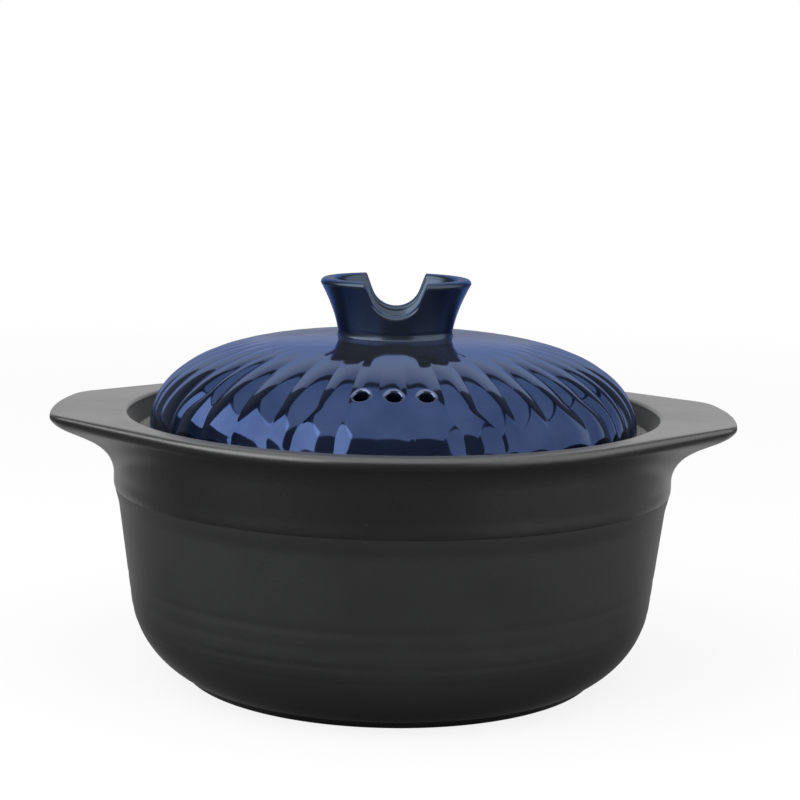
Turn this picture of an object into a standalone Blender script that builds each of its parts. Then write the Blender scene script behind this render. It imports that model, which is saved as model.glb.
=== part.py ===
"""Ceramic soup pot with two wing handles and a fluted lid with a notched knob.

Lengths are in metres and angles in radians, with +Z up. The pot stands on the XY plane with its axis
on Z, its handles lie along X and the steam holes in the lid face the front, which is -Y.
"""
import math

import bmesh
import bpy
from mathutils import Vector

# Outside of the pot
BASE_RADIUS = 0.0894
FOOT_HEIGHT = 0.0030
FOOT_FLARE = 0.0023
BELLY_ROUND = 0.0392
WALL_RADIUS = 0.1178
WALL_LEAN = math.radians(7.1)
GLAZE_LINE_HEIGHT = 0.0818
BAND_RADIUS = 0.1187
BAND_LEAN = math.radians(2.5)
SHOULDER_LENGTH = 0.0102
SHOULDER_DROP = 0.0081
FOOT_RECESS_DEPTH = 0.0012
FOOT_RING_WIDTH = 0.011

# Rim and handles
RIM_HEIGHT = 0.1129
RIM_RADIUS = 0.1227
RIM_NOSE_ROUND = 0.0030
RIM_NOSE_TURN = math.radians(50)
RIM_LIP_LENGTH = 0.0135
HANDLE_SPAN = 0.2906
HANDLE_SIDE_ANGLE = math.radians(46.1)
HANDLE_CORNER_ROUND = 0.021
HANDLE_NOSE_ROUND = 0.0020
HANDLE_NOSE_TURN = math.radians(36)
HANDLE_ROOT_LENGTH = 0.0259
TOP_EDGE_POWER = 2.4
UNDERSIDE_ROOT_PULL = 0.71
UNDERSIDE_LIP_PULL = 0.34

# Inside of the pot
RIM_WIDTH = 0.0095
INNER_EDGE_ROUND = 0.0018
LEDGE_DEPTH = 0.0093
RECESS_TAPER = 0.0039
LEDGE_WIDTH = 0.0128
LEDGE_ROUND = 0.0015
LEDGE_THICKNESS = 0.016
WALL_THICKNESS = 0.0080
FLOOR_THICKNESS = 0.0085
INNER_BELLY_ROUND = 0.030

# Lid
SEAT_GAP = 0.0003
LID_CLEARANCE = 0.0055
LID_THICKNESS = 0.0058
LID_SKIRT_HEIGHT = 0.0034
LID_EDGE_ROUND = 0.0022
DOME_RISE = 0.0378
DOME_RADIAL_POWER = 3.3
DOME_HEIGHT_POWER = 2.05

# Flutes and steam holes
FLUTE_COUNT = 44
FLUTE_DEPTH = 0.0015
FLUTE_CUSP_SOFTNESS = 0.15
FLUTE_START_RADIUS = 0.050
FLUTE_FULL_RADIUS = 0.092
FLUTE_END_LENGTH = 0.0025
STEAM_HOLE_COUNT = 3
STEAM_HOLE_DIAMETER = 0.0056
STEAM_HOLE_RING_RADIUS = 0.0885

# Knob
KNOB_FOOT_RADIUS = 0.0243
KNOB_RIM_RADIUS = 0.0331
KNOB_HEIGHT = 0.0242
KNOB_FLARE_POWER = 1.55
KNOB_THICKNESS = 0.0063
KNOB_EDGE_ROUND = 0.0020
KNOB_FLOOR_THICKNESS = 0.0040
NOTCH_DEPTH = 0.0140
NOTCH_ROUND = 0.0110
NOTCH_FLARE = math.radians(21)

# Fineness of the meshes, with the dome's points as angles up from its skirt
HANDLE_END_COLUMNS = 3
HANDLE_CORNER_COLUMNS = 4
HANDLE_SIDE_COLUMNS = 6
RIM_COLUMNS = 16
COLUMNS_PER_FLUTE = 4
OUTER_DOME_ANGLES = (5, 10, 15, 21, 28, 36, 46, 57, 69)
INNER_DOME_ANGLES = (66, 46, 30, 16)
STEAM_HOLE_SIDES = 16
KNOB_NOTCH_COLUMNS = 10
KNOB_SIDE_COLUMNS = 9
CREASE_ANGLE = math.radians(50)

# Places that follow from the sizes
LEDGE_HEIGHT = RIM_HEIGHT - LEDGE_DEPTH
RIM_INNER_RADIUS = RIM_RADIUS - RIM_WIDTH
RECESS_RADIUS = RIM_INNER_RADIUS - RECESS_TAPER
LEDGE_INNER_RADIUS = RECESS_RADIUS - LEDGE_WIDTH
LID_RADIUS = RECESS_RADIUS - LID_CLEARANCE
SHOULDER_BOTTOM = GLAZE_LINE_HEIGHT - SHOULDER_DROP
LID_TOP = LID_SKIRT_HEIGHT + DOME_RISE
LID_HOLLOW_TOP = LID_TOP - LID_THICKNESS
FRONT = -math.pi / 2


def mix(a, b, t):
    return a + (b - a) * t


def smooth(t):
    """Ease from 0 to 1 with level ends."""
    t = min(max(t, 0.0), 1.0)
    return t * t * (3 - 2 * t)


def steps(count):
    """The fractions 0, 1/count, ... 1."""
    return [i / count for i in range(count + 1)]


def arc(centre, radius, start, end, count):
    """Points on an arc in the section plane, with angles measured up from the outward direction."""
    return [(centre[0] + radius * math.cos(mix(start, end, t)),
             centre[1] + radius * math.sin(mix(start, end, t))) for t in steps(count)]


def bezier(p0, p1, p2, p3, count):
    """Points on a cubic Bezier curve in the section plane."""
    points = []
    for t in steps(count):
        s = 1 - t
        points.append(tuple(s**3 * a + 3 * s * s * t * b + 3 * s * t * t * c + t**3 * d
                            for a, b, c, d in zip(p0, p1, p2, p3)))
    return points


def cone_radius(height, at_glaze_line, lean):
    """Radius at a height of a straight wall that leans outwards."""
    return at_glaze_line + (height - GLAZE_LINE_HEIGHT) * math.tan(lean)


def wall_radius(height):
    """Radius of the outer wall at a height, where a soft shoulder leads to the steeper glazed band."""
    wall = cone_radius(height, WALL_RADIUS, WALL_LEAN)
    band = cone_radius(height, BAND_RADIUS, BAND_LEAN)
    return mix(wall, band, smooth((height - SHOULDER_BOTTOM) / SHOULDER_LENGTH))


def belly_centre():
    """Centre of the belly's arc, which touches the leaning wall and ends on top of the foot."""
    normal = (math.cos(WALL_LEAN), -math.sin(WALL_LEAN))
    along = (math.sin(WALL_LEAN), math.cos(WALL_LEAN))
    anchor = (WALL_RADIUS - BELLY_ROUND * normal[0], GLAZE_LINE_HEIGHT - BELLY_ROUND * normal[1])
    to_edge = (BASE_RADIUS + FOOT_FLARE - anchor[0], FOOT_HEIGHT - anchor[1])
    forward = to_edge[0] * along[0] + to_edge[1] * along[1]
    aside = to_edge[0] * normal[0] + to_edge[1] * normal[1]
    reach = forward + math.sqrt(max(BELLY_ROUND**2 - aside**2, 0.0))
    return anchor[0] + reach * along[0], anchor[1] + reach * along[1]


def handle_corner():
    """Turns from the middle of a handle at which its rounded corner starts and ends."""
    centre_radius = HANDLE_SPAN / 2 - HANDLE_CORNER_ROUND
    side_offset = RIM_RADIUS - HANDLE_CORNER_ROUND
    side_length = math.sqrt(centre_radius**2 - side_offset**2)
    return (HANDLE_SIDE_ANGLE - math.atan2(side_length, side_offset),
            HANDLE_SIDE_ANGLE - math.atan2(side_length, RIM_RADIUS))


def plan_reach(azimuth):
    """Distance from the axis to the outermost edge of the rim and the handles.

    Each handle ends in an arc round the pot's axis, and its straight sides touch the rim's circle.
    """
    turn = abs((azimuth + math.pi / 2) % math.pi - math.pi / 2)
    corner_start, corner_end = handle_corner()
    if turn >= HANDLE_SIDE_ANGLE:
        return RIM_RADIUS
    if turn >= corner_end:
        return RIM_RADIUS / math.cos(HANDLE_SIDE_ANGLE - turn)
    if turn <= corner_start:
        return HANDLE_SPAN / 2
    centre_radius = HANDLE_SPAN / 2 - HANDLE_CORNER_ROUND
    across = centre_radius * math.sin(turn - corner_start)
    along = centre_radius * math.cos(turn - corner_start)
    return along + math.sqrt(HANDLE_CORNER_ROUND**2 - across**2)


def pot_outside(azimuth):
    """Section of the outside, from the foot's outer edge up the wall and over the rim's nose.

    The underside leaves the band along it and sweeps out to the nose. It is short and steep under
    the plain rim and long and flat under a handle.
    """
    reach = plan_reach(azimuth)
    handle = (reach - RIM_RADIUS) / (HANDLE_SPAN / 2 - RIM_RADIUS)
    nose = mix(RIM_NOSE_ROUND, HANDLE_NOSE_ROUND, handle)
    turn = mix(RIM_NOSE_TURN, HANDLE_NOSE_TURN, handle)
    root_height = RIM_HEIGHT - mix(RIM_LIP_LENGTH, HANDLE_ROOT_LENGTH, handle)

    centre = belly_centre()
    belly_start = math.atan2(FOOT_HEIGHT - centre[1], BASE_RADIUS + FOOT_FLARE - centre[0])
    points = [(BASE_RADIUS, 0.0), *arc(centre, BELLY_ROUND, belly_start, -WALL_LEAN, 6)]
    shoulder_heights = [SHOULDER_BOTTOM + SHOULDER_LENGTH * t for t in steps(3)]
    middle_height = (points[-1][1] + SHOULDER_BOTTOM) / 2
    band_height = (shoulder_heights[-1] + root_height) / 2
    for height in [middle_height, *shoulder_heights, band_height]:
        points.append((wall_radius(height), height))

    nose_centre = (reach - nose, RIM_HEIGHT - nose)
    root = (wall_radius(root_height), root_height)
    lip = (nose_centre[0] + nose * math.cos(turn), nose_centre[1] - nose * math.sin(turn))
    rise = UNDERSIDE_ROOT_PULL * (lip[1] - root[1])
    run = UNDERSIDE_LIP_PULL * (lip[0] - root[0])
    above_root = (root[0] + rise * math.tan(BAND_LEAN), root[1] + rise)
    before_lip = (lip[0] - run * math.sin(turn), lip[1] - run * math.cos(turn))
    points += bezier(root, above_root, before_lip, lip, 4)
    points += arc(nose_centre, nose, -turn, 0.0, 2)[1:]
    for t in steps(3)[1:]:
        angle = t * math.pi / 2
        points.append((nose_centre[0] + nose * max(math.cos(angle), 0.0)**(2 / TOP_EDGE_POWER),
                       nose_centre[1] + nose * math.sin(angle)**(2 / TOP_EDGE_POWER)))
    return points


def pot_inside():
    """Section of the inside, from the rim's top over the ledge down to the middle of the floor."""
    edge = (RIM_INNER_RADIUS + INNER_EDGE_ROUND, RIM_HEIGHT - INNER_EDGE_ROUND)
    points = arc(edge, INNER_EDGE_ROUND, math.pi / 2, math.pi, 3)
    points.append((RECESS_RADIUS, LEDGE_HEIGHT))
    corner = (LEDGE_INNER_RADIUS + LEDGE_ROUND, LEDGE_HEIGHT - LEDGE_ROUND)
    points += arc(corner, LEDGE_ROUND, math.pi / 2, math.pi, 2)

    inner_wall = WALL_RADIUS - WALL_THICKNESS
    under_height = LEDGE_HEIGHT - LEDGE_THICKNESS
    under = (cone_radius(under_height, inner_wall, WALL_LEAN), under_height)
    pull = (points[-1][1] - under_height) / 2
    under_handle = (under[0] + pull * math.tan(WALL_LEAN), under[1] + pull)
    points += bezier(points[-1], (points[-1][0], points[-1][1] - pull), under_handle, under, 4)[1:]

    centre_height = FLOOR_THICKNESS + INNER_BELLY_ROUND
    inner_radius = cone_radius(centre_height, inner_wall, WALL_LEAN)
    centre_radius = inner_radius - INNER_BELLY_ROUND / math.cos(WALL_LEAN)
    points += arc((centre_radius, centre_height), INNER_BELLY_ROUND, -WALL_LEAN, -math.pi / 2, 5)
    return points


def pot_azimuths():
    """Column angles, closer together over the corners of the two handles."""
    corner_start, corner_end = handle_corner()
    half = [mix(0.0, corner_start, t) for t in steps(HANDLE_END_COLUMNS)]
    half += [mix(corner_start, corner_end, t) for t in steps(HANDLE_CORNER_COLUMNS)[1:]]
    half += [mix(corner_end, HANDLE_SIDE_ANGLE, t) for t in steps(HANDLE_SIDE_COLUMNS)[1:]]
    rim = [mix(HANDLE_SIDE_ANGLE, math.pi - HANDLE_SIDE_ANGLE, t) for t in steps(RIM_COLUMNS)[1:-1]]
    turns = [-turn for turn in half[:0:-1]] + half + rim
    return [side + turn for side in (0.0, math.pi) for turn in turns]


def pot_section(azimuth):
    """Whole section of the pot as (radius, height), from under the foot round to the floor inside."""
    foot_inner = BASE_RADIUS - FOOT_RING_WIDTH
    underside = [(foot_inner - FOOT_RECESS_DEPTH, FOOT_RECESS_DEPTH), (foot_inner, 0.0)]
    return underside + pot_outside(azimuth) + pot_inside()


def dome_point(angle, radius, rise, base_height):
    """Point on a domed profile; the angle runs from 0 at its edge to a right angle at its top."""
    out = radius * max(math.cos(angle), 0.0)**(2 / DOME_RADIAL_POWER)
    return out, base_height + rise * math.sin(angle)**(2 / DOME_HEIGHT_POWER)


def dome_height(radius):
    """Height of the lid's plain outer dome above the ledge at a distance from the axis."""
    spread = 1 - (radius / LID_RADIUS)**DOME_RADIAL_POWER
    return LID_SKIRT_HEIGHT + DOME_RISE * spread**(1 / DOME_HEIGHT_POWER)


def dome_normal(radius):
    """Outward normal of the plain dome in the section plane."""
    step = 0.0001
    inner = max(radius - step, 0.0)
    outer = min(radius + step, LID_RADIUS)
    slope = (dome_height(outer) - dome_height(inner)) / (outer - inner)
    length = math.hypot(1.0, slope)
    return -slope / length, 1.0 / length


def flute_groove(azimuth):
    """How far a direction lies into a groove: 0 on the crest of a flute and 1 at a cusp."""
    lobe = math.cos(FLUTE_COUNT / 2 * (azimuth - FRONT))
    softened = math.sqrt(lobe**2 + FLUTE_CUSP_SOFTNESS**2) - FLUTE_CUSP_SOFTNESS
    return 1 - softened / (math.sqrt(1 + FLUTE_CUSP_SOFTNESS**2) - FLUTE_CUSP_SOFTNESS)


def flute_fade(radius, height):
    """Depth of the flutes along the profile: they grow from the middle and stop above the skirt."""
    grow = smooth((radius - FLUTE_START_RADIUS) / (FLUTE_FULL_RADIUS - FLUTE_START_RADIUS))
    return grow * smooth((height - LID_SKIRT_HEIGHT) / FLUTE_END_LENGTH)


def lid_section(azimuth):
    """Section of the lid above the ledge, from the middle of its hollow round to the top."""
    inner_radius = LID_RADIUS - LID_THICKNESS
    inner_rise = LID_HOLLOW_TOP - SEAT_GAP
    points = [dome_point(math.radians(a), inner_radius, inner_rise, SEAT_GAP) for a in INNER_DOME_ANGLES]
    points.append((inner_radius, SEAT_GAP))
    edge = (LID_RADIUS - LID_EDGE_ROUND, SEAT_GAP + LID_EDGE_ROUND)
    points += arc(edge, LID_EDGE_ROUND, -math.pi / 2, 0.0, 2)
    groove = FLUTE_DEPTH * flute_groove(azimuth)
    for a in OUTER_DOME_ANGLES:
        radius, height = dome_point(math.radians(a), LID_RADIUS, DOME_RISE, LID_SKIRT_HEIGHT)
        out, up = dome_normal(radius)
        depth = groove * flute_fade(radius, height)
        points.append((radius - depth * out, height - depth * up))
    return points


def notch_height(offset):
    """Height of the notched rim over the knob's foot at a distance from the notch's middle plane."""
    offset = abs(offset)
    bottom = KNOB_HEIGHT - NOTCH_DEPTH
    turn = NOTCH_ROUND * math.cos(NOTCH_FLARE)
    if offset <= turn:
        return bottom + NOTCH_ROUND - math.sqrt(NOTCH_ROUND**2 - offset**2)
    start = bottom + NOTCH_ROUND * (1 - math.sin(NOTCH_FLARE))
    return min(start + (offset - turn) / math.tan(NOTCH_FLARE), KNOB_HEIGHT)


def notch_half_width():
    """Half of the notch's width at the knob's rim."""
    turn = NOTCH_ROUND * math.cos(NOTCH_FLARE)
    climb = NOTCH_DEPTH - NOTCH_ROUND * (1 - math.sin(NOTCH_FLARE))
    return turn + climb * math.tan(NOTCH_FLARE)


def knob_outer_radius(height):
    flare = min(max(height / KNOB_HEIGHT, 0.0), 1.0)**KNOB_FLARE_POWER
    return mix(KNOB_FOOT_RADIUS, KNOB_RIM_RADIUS, flare)


def knob_columns():
    """Columns round the knob as (half turn, offset from the notch plane, share of the side).

    In a notch a column keeps its offset from the notch plane, so that the flanks run straight
    through; beside it the columns share the rest of the half turn evenly.
    """
    half = notch_half_width()
    columns = []
    for half_turn in (0.0, math.pi):
        for t in steps(KNOB_NOTCH_COLUMNS):
            columns.append((half_turn, half * math.sin(mix(-1, 1, t) * math.pi / 2), 0.0))
        columns += [(half_turn, half, t) for t in steps(KNOB_SIDE_COLUMNS)[1:-1]]
    return columns


def knob_column_angle(column, radius):
    """Angle of a column from the front at a distance from the knob's axis."""
    half_turn, offset, share = column
    edge = math.asin(offset / radius)
    return half_turn + mix(edge, math.pi - edge, share)


def knob_rings(column):
    """Points down one column of the knob as (radius, height), from the foot over the rim inside."""
    top = notch_height(column[1]) if column[2] == 0 else KNOB_HEIGHT
    points = [(knob_outer_radius(0.0) + KNOB_EDGE_ROUND / 2, SEAT_GAP)]
    for t in steps(4):
        height = mix(SEAT_GAP + KNOB_EDGE_ROUND / 2, top - KNOB_EDGE_ROUND, t)
        points.append((knob_outer_radius(height), height))
    outer = knob_outer_radius(top - KNOB_EDGE_ROUND)
    inner = outer - KNOB_THICKNESS
    points += arc((outer - KNOB_EDGE_ROUND, top - KNOB_EDGE_ROUND), KNOB_EDGE_ROUND, 0.0, math.pi / 2, 3)[1:]
    points += arc((inner + KNOB_EDGE_ROUND, top - KNOB_EDGE_ROUND), KNOB_EDGE_ROUND, math.pi / 2, math.pi, 3)
    floor = SEAT_GAP + KNOB_FLOOR_THICKNESS
    lower = knob_outer_radius(floor) - KNOB_THICKNESS
    foot = (lower, floor + KNOB_EDGE_ROUND)
    points.append((mix(foot[0], inner, 1 / 2), mix(foot[1], top - KNOB_EDGE_ROUND, 1 / 2)))
    points += [foot, (lower - KNOB_EDGE_ROUND, floor)]
    return points


def link_rings(rings, first_pole, last_pole):
    """Vertices and faces of a closed body of rings of points, with a single point at each end."""
    count = len(rings[0])
    vertices = [first_pole] + [point for ring in rings for point in ring] + [last_pole]
    last = len(vertices) - 1
    faces = []
    for column in range(count):
        beside = (column + 1) % count
        faces.append((0, 1 + beside, 1 + column))
        for ring in range(len(rings) - 1):
            low = 1 + ring * count
            faces.append((low + column, low + beside, low + count + beside, low + count + column))
        low = last - count
        faces.append((low + column, low + beside, last))
    return vertices, faces


def turned_rings(azimuths, section_at):
    """Rings of points from a section that may change round the axis."""
    sections = [section_at(azimuth) for azimuth in azimuths]
    rings = []
    for level in range(len(sections[0])):
        ring = []
        for azimuth, section in zip(azimuths, sections):
            radius, height = section[level]
            ring.append((radius * math.cos(azimuth), radius * math.sin(azimuth), height))
        rings.append(ring)
    return rings


def ceramic(name, colour, roughness):
    """A plain fired or glazed finish."""
    material = bpy.data.materials.new(name)
    material.use_nodes = True
    shader = material.node_tree.nodes["Principled BSDF"]
    shader.inputs["Base Color"].default_value = (*colour, 1.0)
    shader.inputs["Roughness"].default_value = roughness
    shader.inputs["Metallic"].default_value = 0.0
    return material


def add_piece(name, vertices, faces, material):
    """Add a closed mesh to the scene, facing out and shaded smooth up to the crease angle."""
    mesh = bpy.data.meshes.new(name)
    mesh.from_pydata(vertices, [], faces)
    solid = bmesh.new()
    solid.from_mesh(mesh)
    bmesh.ops.recalc_face_normals(solid, faces=solid.faces)
    solid.to_mesh(mesh)
    solid.free()
    mesh.materials.append(material)
    mesh.shade_smooth()
    mesh.set_sharp_from_angle(angle=CREASE_ANGLE)
    piece = bpy.data.objects.new(name, mesh)
    bpy.context.collection.objects.link(piece)
    return piece


def make_pot_body():
    rings = turned_rings(pot_azimuths(), pot_section)
    vertices, faces = link_rings(rings, (0, 0, FOOT_RECESS_DEPTH), (0, 0, FLOOR_THICKNESS))
    return add_piece("pot_body", vertices, faces, ceramic("dark_glaze", (0.022, 0.024, 0.025), 0.32))


def make_lid():
    """The fluted dome, set on the ledge with its origin on the pot's axis."""
    count = FLUTE_COUNT * COLUMNS_PER_FLUTE
    azimuths = [FRONT + 2 * math.pi * t for t in steps(count)[:-1]]
    rings = turned_rings(azimuths, lid_section)
    vertices, faces = link_rings(rings, (0, 0, LID_HOLLOW_TOP), (0, 0, LID_TOP))
    lid = add_piece("lid", vertices, faces, ceramic("blue_glaze", (0.035, 0.062, 0.165), 0.08))
    lid.location.z = LEDGE_HEIGHT
    return lid


def drill_steam_holes(lid):
    """Cut the row of steam holes square through the dome, one on the crest of each front flute."""
    out, up = dome_normal(STEAM_HOLE_RING_RADIUS)
    depth = 3 * LID_THICKNESS
    cutter = bmesh.new()
    for index in range(STEAM_HOLE_COUNT):
        azimuth = FRONT + (index - (STEAM_HOLE_COUNT - 1) / 2) * 2 * math.pi / FLUTE_COUNT
        direction = Vector((out * math.cos(azimuth), out * math.sin(azimuth), up))
        place = direction.to_track_quat("Z", "Y").to_matrix().to_4x4()
        place.translation = (STEAM_HOLE_RING_RADIUS * math.cos(azimuth),
                             STEAM_HOLE_RING_RADIUS * math.sin(azimuth),
                             dome_height(STEAM_HOLE_RING_RADIUS))
        bmesh.ops.create_cone(cutter, cap_ends=True, segments=STEAM_HOLE_SIDES, depth=depth,
                              radius1=STEAM_HOLE_DIAMETER / 2, radius2=STEAM_HOLE_DIAMETER / 2, matrix=place)
    mesh = bpy.data.meshes.new("steam_hole_cutter")
    cutter.to_mesh(mesh)
    cutter.free()
    guide = bpy.data.objects.new("steam_hole_cutter", mesh)
    bpy.context.collection.objects.link(guide)
    guide.parent = lid
    guide.hide_render = True
    guide.display_type = "WIRE"
    cut = lid.modifiers.new("steam_holes", "BOOLEAN")
    cut.operation = "DIFFERENCE"
    cut.solver = "EXACT"
    cut.object = guide


def make_knob(lid):
    """The flared, notched knob, standing on the middle of the lid."""
    columns = knob_columns()
    sections = [knob_rings(column) for column in columns]
    rings = []
    for level in range(len(sections[0])):
        ring = []
        for column, section in zip(columns, sections):
            radius, height = section[level]
            angle = FRONT + knob_column_angle(column, radius)
            ring.append((radius * math.cos(angle), radius * math.sin(angle), height))
        rings.append(ring)
    vertices, faces = link_rings(rings, (0, 0, SEAT_GAP), (0, 0, SEAT_GAP + KNOB_FLOOR_THICKNESS))
    knob = add_piece("lid_knob", vertices, faces, ceramic("knob_glaze", (0.030, 0.052, 0.140), 0.08))
    knob.location.z = LID_TOP
    knob.parent = lid
    return knob


def clear_scene():
    for item in list(bpy.data.objects):
        bpy.data.objects.remove(item, do_unlink=True)


def main():
    clear_scene()
    make_pot_body()
    lid = make_lid()
    drill_steam_holes(lid)
    make_knob(lid)


main()
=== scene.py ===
"""Looks of the ceramic soup pot: fine glazed surfaces on the CAD frame, studio light and the camera.

Lengths are in metres, and angles in radians unless a comment says degrees. The sizes repeat those of the
part's source, and the shapes follow the same formulas with more points and finer detail, so each piece
stays where its CAD node is.
"""
import math

import bmesh
import bpy
from mathutils import Matrix, Quaternion, Vector, noise


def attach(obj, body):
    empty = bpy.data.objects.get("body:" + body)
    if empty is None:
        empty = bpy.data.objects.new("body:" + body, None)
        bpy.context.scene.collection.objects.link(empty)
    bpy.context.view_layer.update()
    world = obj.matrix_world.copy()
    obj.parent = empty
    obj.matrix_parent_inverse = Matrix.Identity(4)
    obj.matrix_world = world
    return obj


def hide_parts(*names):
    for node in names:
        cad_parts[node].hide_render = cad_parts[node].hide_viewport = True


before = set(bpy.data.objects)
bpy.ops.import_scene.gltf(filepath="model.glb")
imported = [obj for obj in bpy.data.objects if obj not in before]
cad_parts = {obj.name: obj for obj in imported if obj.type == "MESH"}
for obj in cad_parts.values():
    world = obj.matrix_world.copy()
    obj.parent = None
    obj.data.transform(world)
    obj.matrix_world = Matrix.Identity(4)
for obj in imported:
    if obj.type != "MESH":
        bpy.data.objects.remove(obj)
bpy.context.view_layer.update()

# Outside of the pot
BASE_RADIUS = 0.0894
FOOT_HEIGHT = 0.0030
FOOT_FLARE = 0.0023
BELLY_ROUND = 0.0392
WALL_RADIUS = 0.1178
WALL_LEAN = math.radians(7.1)
GLAZE_LINE_HEIGHT = 0.0818
BAND_RADIUS = 0.1187
BAND_LEAN = math.radians(2.5)
SHOULDER_LENGTH = 0.0102
SHOULDER_DROP = 0.0081
FOOT_RECESS_DEPTH = 0.0012
FOOT_RING_WIDTH = 0.011

# Rim and handles
RIM_HEIGHT = 0.1129
RIM_RADIUS = 0.1227
RIM_NOSE_ROUND = 0.0030
RIM_NOSE_TURN = math.radians(50)
RIM_LIP_LENGTH = 0.0135
HANDLE_SPAN = 0.2906
HANDLE_SIDE_ANGLE = math.radians(46.1)
HANDLE_CORNER_ROUND = 0.021
HANDLE_NOSE_ROUND = 0.0020
HANDLE_NOSE_TURN = math.radians(36)
HANDLE_ROOT_LENGTH = 0.0259
TOP_EDGE_POWER = 2.4
UNDERSIDE_ROOT_PULL = 0.71
UNDERSIDE_LIP_PULL = 0.34

# Inside of the pot
RIM_WIDTH = 0.0095
INNER_EDGE_ROUND = 0.0018
LEDGE_DEPTH = 0.0093
RECESS_TAPER = 0.0039
LEDGE_WIDTH = 0.0128
LEDGE_ROUND = 0.0015
LEDGE_THICKNESS = 0.016
WALL_THICKNESS = 0.0080
FLOOR_THICKNESS = 0.0085
INNER_BELLY_ROUND = 0.030

# Lid
SEAT_GAP = 0.0003
LID_CLEARANCE = 0.0055
LID_THICKNESS = 0.0058
LID_SKIRT_HEIGHT = 0.0034
LID_EDGE_ROUND = 0.0022
DOME_RISE = 0.0378
DOME_RADIAL_POWER = 3.3
DOME_HEIGHT_POWER = 2.05

# Flutes and steam holes
FLUTE_COUNT = 44
FLUTE_DEPTH = 0.0015
FLUTE_START_RADIUS = 0.050
FLUTE_FULL_RADIUS = 0.092
STEAM_HOLE_COUNT = 3
STEAM_HOLE_DIAMETER = 0.0056
STEAM_HOLE_RING_RADIUS = 0.0885

# Knob
KNOB_FOOT_RADIUS = 0.0243
KNOB_RIM_RADIUS = 0.0331
KNOB_HEIGHT = 0.0242
KNOB_FLARE_POWER = 1.55
KNOB_THICKNESS = 0.0063
KNOB_EDGE_ROUND = 0.0020
KNOB_FLOOR_THICKNESS = 0.0040
NOTCH_DEPTH = 0.0140
NOTCH_ROUND = 0.0110
NOTCH_FLARE = math.radians(21)

# Places that follow from the sizes
LEDGE_HEIGHT = RIM_HEIGHT - LEDGE_DEPTH
RIM_INNER_RADIUS = RIM_RADIUS - RIM_WIDTH
RECESS_RADIUS = RIM_INNER_RADIUS - RECESS_TAPER
LEDGE_INNER_RADIUS = RECESS_RADIUS - LEDGE_WIDTH
LID_RADIUS = RECESS_RADIUS - LID_CLEARANCE
SHOULDER_BOTTOM = GLAZE_LINE_HEIGHT - SHOULDER_DROP
LID_TOP = LID_SKIRT_HEIGHT + DOME_RISE
LID_HOLLOW_TOP = LID_TOP - LID_THICKNESS
FRONT = -math.pi / 2

# Detail of the pot that only the looks have
FOOT_EDGE_ROUND = 0.0007
FOOT_EDGE_END = -0.4
GLAZE_LIP = 0.00022
GLAZE_LIP_FADE = 0.006

# Throwing grooves, each as its height, half its width and its depth
THROWING_GROOVES = ((0.0440, 0.0011, 0.00026), (0.0368, 0.0010, 0.00018),
                    (0.0296, 0.0012, 0.00022), (0.0232, 0.0010, 0.00013))
THROWING_SWAY = 0.0006

# Carved grooves between the flutes, numbered from the front: degrees that each stands off its even place,
# degrees that it bends at its foot, share of its depth that is left there, and its depth
GROOVE_SHIFTS = {-6: -2.3, -5: -0.7, -4: 1.4, -3: 2.1, -2: 1.2, -1: 0.1, 0: -0.7, 1: 0.4,
                 2: -0.5, 3: 0.1, 4: 0.5, 5: 1.4, 6: 0.5, 7: 1.0}
GROOVE_SPLAYS = {-7: -4.5, -4: -1.0, -3: -4.0, -2: -1.5, 0: 1.5, 1: 3.0, 2: 4.5, 5: 3.0, 6: 4.5}
GROOVE_FEET = {-9: 0.6, -8: 0.55, -7: 0.55, -6: 0.5, -5: 0.5, -4: 0.5, 2: 0.3, 3: 0.45, 4: 0.55, 5: 0.6}
GROOVE_STRENGTHS = {-12: 0.6, -11: 0.55, -10: 0.55, -9: 0.6, -8: 0.7,
                    -2: 0.85, -1: 0.40, 0: 0.80, 1: 1.0, 2: 1.0}
OTHER_GROOVE_SHIFT = 1.2
OTHER_GROOVE_FOOT = 0.8
OTHER_GROOVE_UNEVENNESS = 0.25
GROOVE_FOOT_START = 0.093
GROOVE_END_LENGTH = 0.0060
GROOVE_SHARPNESS = 0.04

# Other detail of the lid and the knob that only the looks have
HOLE_RIM_ROUND = 0.0016
HOLE_ZONE_REACH = 0.0062
HOLE_ZONE_TURN = 0.25
KNOB_FILLET_HEIGHT = 0.0025
KNOB_FILLET_REACH = 0.0007
NOTCH_CORNER_ROUND = 0.0012

# Rows and columns of the meshes, with the dome's margins and angles in degrees
HANDLE_END_COLUMNS = 16
HANDLE_CORNER_COLUMNS = 20
HANDLE_SIDE_COLUMNS = 44
RIM_COLUMNS = 120
COLUMNS_PER_FLUTE = 20
HOLE_COLUMNS_PER_FLUTE = 60
HOLE_COLUMN_EVENNESS = 0.7
HOLE_SIDES = 64
NOTCH_COLUMNS = 56
KNOB_SIDE_COLUMNS = 70
CREASE_ANGLE = math.radians(50)
DOME_ROWS = 96
HOLE_ROWS = 60
HOLE_ROWS_REACH = 0.0052
HOLE_ROWS_MARGIN = 0.4
INNER_DOME_ANGLES = (88, 84, 78, 72, 66, 60, 54, 48, 42, 36, 30, 25, 20, 15, 10, 5, 2)

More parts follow.
